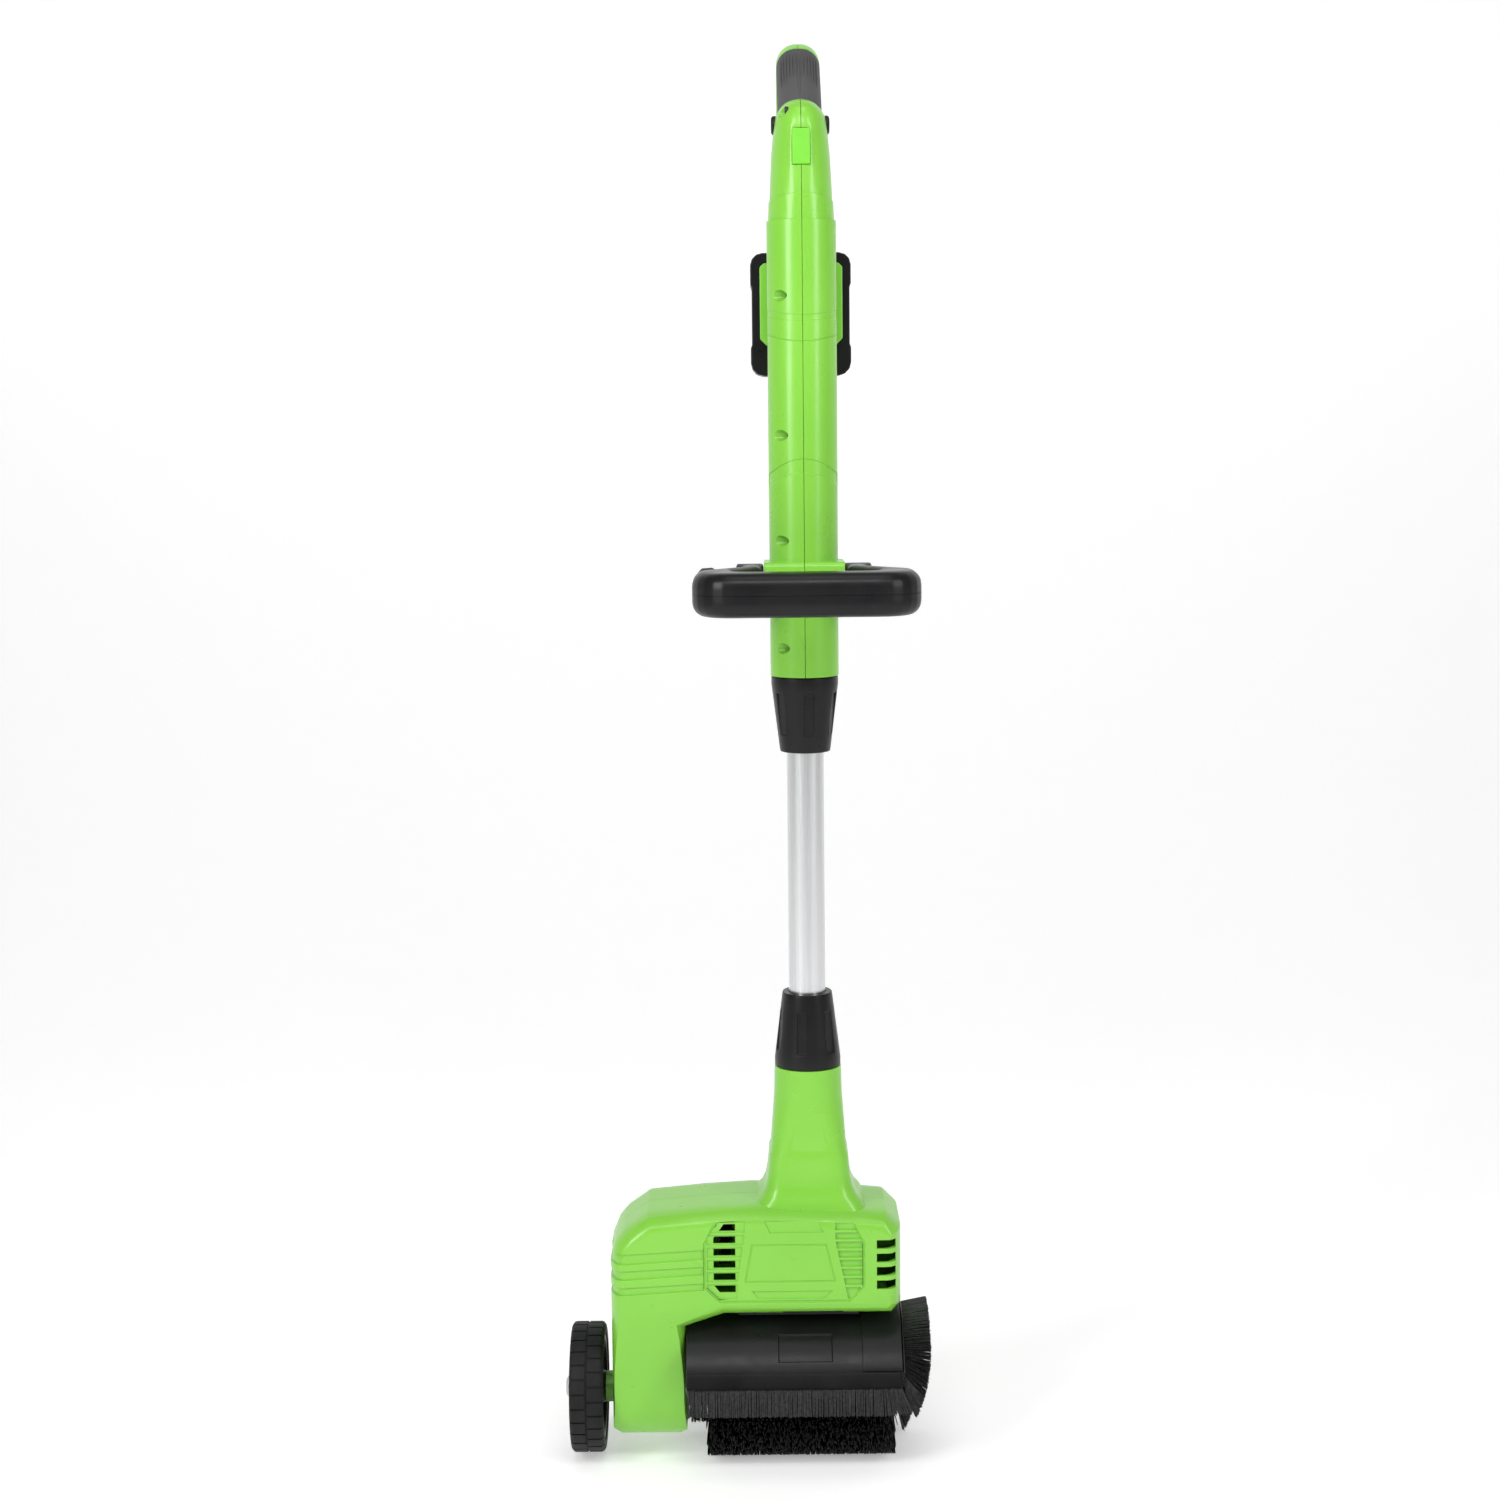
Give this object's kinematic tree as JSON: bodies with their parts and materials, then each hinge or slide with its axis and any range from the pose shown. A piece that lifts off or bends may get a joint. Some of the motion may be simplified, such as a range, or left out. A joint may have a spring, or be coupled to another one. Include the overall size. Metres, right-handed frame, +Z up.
{
  "type": "cordless brush sweeper",
  "caption": "Handheld cordless sweeper: rotary brush with guard and side wheel on a telescopic pole, with loop grips and a slide-on battery.",
  "frame": {"origin": "the floor point under the brush, where the pole's axis meets the floor", "axes": "+Z up along the pole, X along the brush axle with the side wheel at -X, +Y towards the user"},
  "size_m": [0.284, 0.2367, 1.0896],
  "materials": {
    "green_shell": "satin moulded plastic",
    "green_tab": "smooth moulded plastic",
    "black_plastic": "fine textured plastic",
    "grip_rubber": "soft ribbed rubber",
    "aluminium": "satin anodised",
    "steel": "plated",
    "bristle": "nylon strands",
    "tyre": "moulded tread",
    "belt": "belt rubber",
    "nylon": "natural nylon",
    "circuit": "circuit board",
    "copper": "lacquered copper windings",
    "cell": "shrink sleeve"
  },
  "bodies": {
    "handle": {"handle_shell_left": "green_shell", "handle_shell_right": "green_shell", "grip_overmold": "grip_rubber", "trigger_pin": "steel", "trigger_switch": "black_plastic", "control_board": "circuit", "strap_tab": "green_tab", "handle_screws": "steel", "battery_mount": "green_shell", "battery_terminal_block": "black_plastic", "tube_guide_bush": "nylon", "upper_collet": "black_plastic", "pivot_studs": "steel", "pivot_nut": "steel"},
    "trigger": {"trigger": "black_plastic"},
    "lock_off": {"lock_off_button": "black_plastic"},
    "battery": {"battery_case": "black_plastic", "battery_cover": "black_plastic", "battery_cells": "cell"},
    "battery_release": {"battery_release_button": "black_plastic"},
    "upper_collar": {"upper_collar": "black_plastic"},
    "front_handle": {"front_handle_upper": "black_plastic", "front_handle_lower": "black_plastic"},
    "clamp_knob": {"clamp_knob": "black_plastic"},
    "lower_unit": {"aluminium_tube": "aluminium", "lower_collet": "black_plastic", "head_shell_front": "green_shell", "head_shell_rear": "green_shell", "head_screws": "steel", "motor_can": "steel", "motor_end_cap": "black_plastic", "gear_plate": "aluminium", "countershaft_bearings": "steel", "spindle_bearings": "steel", "drive_belt": "belt", "brush_guard": "black_plastic", "guard_end_cover": "black_plastic", "skirt_strip": "black_plastic", "skirt_bristles": "bristle", "wheel_axle": "steel", "axle_clip": "steel"},
    "lower_collar": {"lower_collar": "black_plastic"},
    "brush": {"brush_spindle": "steel", "large_pulley": "nylon", "brush_core": "black_plastic", "brush_bristles": "bristle", "brush_end_nut": "steel"},
    "countershaft": {"countershaft": "steel", "reduction_gear": "nylon", "small_pulley": "nylon"},
    "rotor": {"motor_rotor": "copper", "motor_fan": "black_plastic", "motor_pinion": "steel"},
    "wheel": {"wheel_rim": "black_plastic", "wheel_tyre": "tyre"}
  },
  "joints": [
    {"name": "trigger_pull", "type": "hinge", "parent": "handle", "child": "trigger", "pos_m": [0, 0.06317, 1.05326], "axis": [-1, 0, 0], "range_deg": [0, 5], "stiffness_Nm_per_rad": 0.6, "springref_deg": -8.59},
    {"name": "lock_off_slide", "type": "slide", "parent": "handle", "child": "lock_off", "axis": [1, 0, 0], "range_m": [0, 0.0018], "stiffness_N_per_m": 400, "springref_m": -0.001},
    {"name": "battery_slide", "type": "slide", "parent": "handle", "child": "battery", "axis": [0, 0, -1], "range_m": [0, 0.075]},
    {"name": "battery_release_press", "type": "slide", "parent": "battery", "child": "battery_release", "axis": [0, -1, 0], "range_m": [0, 0.002], "stiffness_N_per_m": 600, "springref_m": -0.001},
    {"name": "upper_collar_twist", "type": "hinge", "parent": "handle", "child": "upper_collar", "pos_m": [0, 0, 0.585], "axis": [0, 0, 1], "range_deg": [0, 120]},
    {"name": "front_handle_tilt", "type": "hinge", "parent": "handle", "child": "front_handle", "pos_m": [0, 0, 0.682], "axis": [1, 0, 0], "range_deg": [-50, 40]},
    {"name": "clamp_knob_turn", "type": "hinge", "parent": "handle", "child": "clamp_knob", "pos_m": [-0.07, 0, 0.682], "axis": [1, 0, 0], "continuous": true},
    {"name": "pole_slide", "type": "slide", "parent": "handle", "child": "lower_unit", "axis": [0, 0, 1], "range_m": [0, 0.15]},
    {"name": "lower_collar_twist", "type": "hinge", "parent": "lower_unit", "child": "lower_collar", "pos_m": [0, 0, 0.34], "axis": [0, 0, 1], "range_deg": [0, 120]},
    {"name": "brush_spin", "type": "hinge", "parent": "lower_unit", "child": "brush", "pos_m": [0, 0, 0.054], "axis": [1, 0, 0], "continuous": true},
    {"name": "countershaft_spin", "type": "hinge", "parent": "lower_unit", "child": "countershaft", "pos_m": [0, 0, 0.15], "axis": [1, 0, 0], "continuous": true},
    {"name": "rotor_spin", "type": "hinge", "parent": "lower_unit", "child": "rotor", "pos_m": [0, 0, 0.178], "axis": [1, 0, 0], "continuous": true},
    {"name": "wheel_spin", "type": "hinge", "parent": "lower_unit", "child": "wheel", "pos_m": [-0.1735, 0, 0.054], "axis": [1, 0, 0], "continuous": true}
  ],
  "couplings": [
    {"joint": "countershaft_spin", "follows": "brush_spin", "ratio": 2.5},
    {"joint": "rotor_spin", "follows": "brush_spin", "ratio": -6.25}
  ]
}
